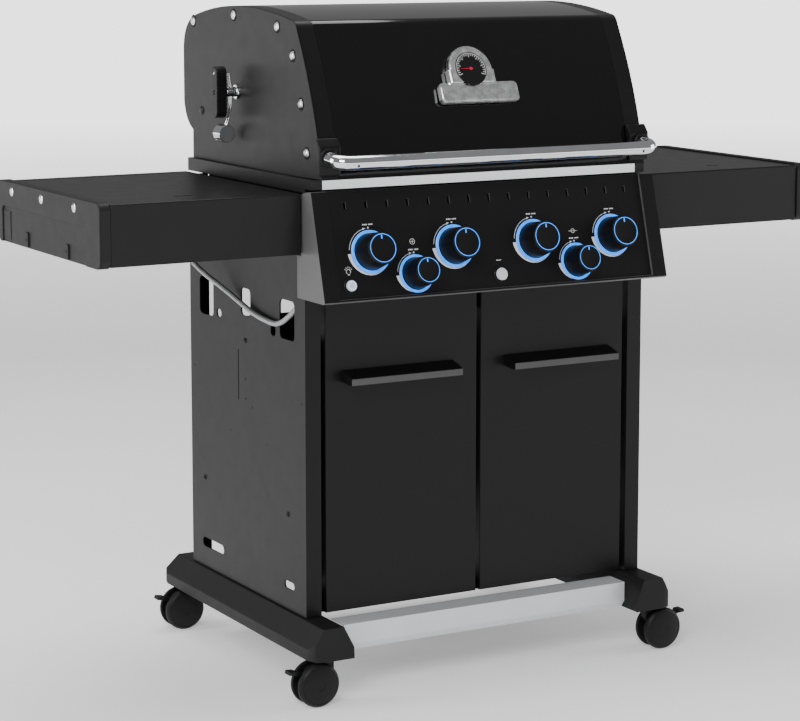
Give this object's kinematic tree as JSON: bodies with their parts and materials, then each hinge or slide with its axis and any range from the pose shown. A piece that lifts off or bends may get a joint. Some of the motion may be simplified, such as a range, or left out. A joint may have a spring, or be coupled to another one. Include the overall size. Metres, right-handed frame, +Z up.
{
  "type": "gas barbecue grill",
  "caption": "Cabinet gas grill with hinged lid and spit, two folding-out doors, side burner under a flip lid, side shelves and braked casters.",
  "frame": {"origin": "on the floor, under the middle of the grill's bounding box", "axes": "+Z up, +X to the right of a cook who faces the grill, front and control panel towards -Y"},
  "size_m": [1.45, 0.6718, 1.1914],
  "materials": {
    "enamel_black": "gloss black enamel",
    "cast_black": "satin black paint on cast aluminium",
    "sheet_black": "satin black powder coat on sheet steel",
    "shelf_grey": "satin dark grey powder coat",
    "moulded_grey": "fine-grained dark grey moulding",
    "trim_grey": "satin grey powder coat",
    "fascia_black": "charcoal satin coat",
    "chrome": "polished",
    "stainless": "brushed",
    "braided_steel": "woven wire",
    "rail_silver": "satin silver",
    "cast_iron": "matt, seasoned",
    "caster_plastic": "matt nylon",
    "knob_black": "satin soft touch",
    "light_blue": "lit ring",
    "print_white": "screen print",
    "button_white": "gloss",
    "needle_red": "gloss",
    "dark_gap": "dull"
  },
  "bodies": {
    "cabinet": {"base_skid_left": "moulded_grey", "base_skid_right": "moulded_grey", "base_rail": "rail_silver", "side_panel_left": "sheet_black", "side_panel_right": "sheet_black", "back_panel": "sheet_black", "cabinet_floor": "sheet_black", "shelf_left": "shelf_grey", "shelf_right": "shelf_grey", "side_burner": "cast_iron", "shelf_cap_left": "moulded_grey", "shelf_cap_right": "moulded_grey", "firebox": "cast_black", "front_trim": "stainless", "burner_1": "stainless", "burner_2": "stainless", "burner_3": "stainless", "burner_4": "stainless", "heat_plates": "stainless", "cooking_grid_left": "cast_iron", "cooking_grid_right": "cast_iron", "rear_burner": "stainless", "gas_manifold": "stainless", "gas_hose": "braided_steel", "control_panel": "trim_grey"},
    "lid": {"lid_shell": "enamel_black", "lid_cap_left": "cast_black", "lid_cap_right": "cast_black", "lid_handle": "chrome", "thermometer": "chrome", "spit_motor": "stainless"},
    "spit": {"spit_rod": "stainless", "spit_handle": "knob_black", "counterweight": "chrome"},
    "burner_lid": {"side_burner_lid": "shelf_grey"},
    "left_door": {"door_left": "sheet_black", "door_handle_left": "cast_black"},
    "right_door": {"door_right": "sheet_black", "door_handle_right": "cast_black"},
    "tray": {"grease_tray": "stainless"},
    "light_push": {"light_button": "button_white"},
    "ignition_push": {"ignition_button": "button_white"},
    "knob_1": {"burner_knob_1": "knob_black"},
    "knob_2": {"burner_knob_2": "knob_black"},
    "knob_3": {"burner_knob_3": "knob_black"},
    "knob_4": {"burner_knob_4": "knob_black"},
    "side_burner_control": {"side_burner_knob": "knob_black"},
    "rear_burner_control": {"rear_burner_knob": "knob_black"},
    "caster_front_left": {"caster_housing_front_left": "caster_plastic"},
    "wheel_front_left": {"caster_wheel_front_left": "caster_plastic"},
    "brake_front_left": {"brake_lever_front_left": "caster_plastic"},
    "caster_rear_left": {"caster_housing_rear_left": "caster_plastic"},
    "wheel_rear_left": {"caster_wheel_rear_left": "caster_plastic"},
    "brake_rear_left": {"brake_lever_rear_left": "caster_plastic"},
    "caster_front_right": {"caster_housing_front_right": "caster_plastic"},
    "wheel_front_right": {"caster_wheel_front_right": "caster_plastic"},
    "brake_front_right": {"brake_lever_front_right": "caster_plastic"},
    "caster_rear_right": {"caster_housing_rear_right": "caster_plastic"},
    "wheel_rear_right": {"caster_wheel_rear_right": "caster_plastic"},
    "brake_rear_right": {"brake_lever_rear_right": "caster_plastic"}
  },
  "joints": [
    {"name": "lid_hinge", "type": "hinge", "parent": "cabinet", "child": "lid", "pos_m": [0, 0.2249, 0.995], "axis": [-1, 0, 0], "range_deg": [0, 88]},
    {"name": "spit_spin", "type": "hinge", "parent": "lid", "child": "spit", "pos_m": [0, 0.0749, 1.038], "axis": [1, 0, 0], "continuous": true},
    {"name": "burner_lid_hinge", "type": "hinge", "parent": "cabinet", "child": "burner_lid", "pos_m": [-0.5385, 0.2174, 0.8825], "axis": [-1, 0, 0], "range_deg": [0, 95]},
    {"name": "left_door_hinge", "type": "hinge", "parent": "cabinet", "child": "left_door", "pos_m": [-0.313, -0.2221, 0.419], "axis": [0, 0, -1], "range_deg": [0, 110]},
    {"name": "right_door_hinge", "type": "hinge", "parent": "cabinet", "child": "right_door", "pos_m": [0.313, -0.2221, 0.419], "axis": [0, 0, 1], "range_deg": [0, 110]},
    {"name": "tray_slide", "type": "slide", "parent": "cabinet", "child": "tray", "axis": [0, 1, 0], "range_m": [0, 0.36]},
    {"name": "light_press", "type": "slide", "parent": "cabinet", "child": "light_push", "axis": [0, 0.9646, -0.2636], "range_m": [0, 0.003], "stiffness_N_per_m": 300},
    {"name": "ignition_press", "type": "slide", "parent": "cabinet", "child": "ignition_push", "axis": [0, 0.9646, -0.2636], "range_m": [0, 0.003], "stiffness_N_per_m": 400},
    {"name": "knob_1_turn", "type": "hinge", "parent": "cabinet", "child": "knob_1", "pos_m": [-0.248, -0.27487, 0.78146], "axis": [0, -0.9646, 0.2636], "range_deg": [0, 225]},
    {"name": "knob_2_turn", "type": "hinge", "parent": "cabinet", "child": "knob_2", "pos_m": [-0.082, -0.27487, 0.78146], "axis": [0, -0.9646, 0.2636], "range_deg": [0, 225]},
    {"name": "knob_3_turn", "type": "hinge", "parent": "cabinet", "child": "knob_3", "pos_m": [0.082, -0.27487, 0.78146], "axis": [0, -0.9646, 0.2636], "range_deg": [0, 225]},
    {"name": "knob_4_turn", "type": "hinge", "parent": "cabinet", "child": "knob_4", "pos_m": [0.248, -0.27487, 0.78146], "axis": [0, -0.9646, 0.2636], "range_deg": [0, 225]},
    {"name": "side_burner_knob_turn", "type": "hinge", "parent": "cabinet", "child": "side_burner_control", "pos_m": [-0.165, -0.28621, 0.73999], "axis": [0, -0.9646, 0.2636], "range_deg": [0, 150]},
    {"name": "rear_burner_knob_turn", "type": "hinge", "parent": "cabinet", "child": "rear_burner_control", "pos_m": [0.165, -0.28621, 0.73999], "axis": [0, -0.9646, 0.2636], "range_deg": [0, 150]},
    {"name": "swivel_front_left", "type": "hinge", "parent": "cabinet", "child": "caster_front_left", "pos_m": [-0.338, -0.2761, 0.08], "axis": [0, 0, 1], "continuous": true},
    {"name": "roll_front_left", "type": "hinge", "parent": "caster_front_left", "child": "wheel_front_left", "pos_m": [-0.36, -0.2761, 0.039], "axis": [0, 1, 0], "continuous": true},
    {"name": "brake_front_left", "type": "hinge", "parent": "caster_front_left", "child": "brake_front_left", "pos_m": [-0.378, -0.2761, 0.057], "axis": [0, -1, 0], "range_deg": [0, 12]},
    {"name": "swivel_rear_left", "type": "hinge", "parent": "cabinet", "child": "caster_rear_left", "pos_m": [-0.338, 0.2779, 0.08], "axis": [0, 0, 1], "continuous": true},
    {"name": "roll_rear_left", "type": "hinge", "parent": "caster_rear_left", "child": "wheel_rear_left", "pos_m": [-0.36, 0.2779, 0.039], "axis": [0, 1, 0], "continuous": true},
    {"name": "brake_rear_left", "type": "hinge", "parent": "caster_rear_left", "child": "brake_rear_left", "pos_m": [-0.378, 0.2779, 0.057], "axis": [0, -1, 0], "range_deg": [0, 12]},
    {"name": "swivel_front_right", "type": "hinge", "parent": "cabinet", "child": "caster_front_right", "pos_m": [0.338, -0.2761, 0.08], "axis": [0, 0, 1], "continuous": true},
    {"name": "roll_front_right", "type": "hinge", "parent": "caster_front_right", "child": "wheel_front_right", "pos_m": [0.36, -0.2761, 0.039], "axis": [0, 1, 0], "continuous": true},
    {"name": "brake_front_right", "type": "hinge", "parent": "caster_front_right", "child": "brake_front_right", "pos_m": [0.378, -0.2761, 0.057], "axis": [0, 1, 0], "range_deg": [0, 12]},
    {"name": "swivel_rear_right", "type": "hinge", "parent": "cabinet", "child": "caster_rear_right", "pos_m": [0.338, 0.2779, 0.08], "axis": [0, 0, 1], "continuous": true},
    {"name": "roll_rear_right", "type": "hinge", "parent": "caster_rear_right", "child": "wheel_rear_right", "pos_m": [0.36, 0.2779, 0.039], "axis": [0, 1, 0], "continuous": true},
    {"name": "brake_rear_right", "type": "hinge", "parent": "caster_rear_right", "child": "brake_rear_right", "pos_m": [0.378, 0.2779, 0.057], "axis": [0, 1, 0], "range_deg": [0, 12]}
  ]
}
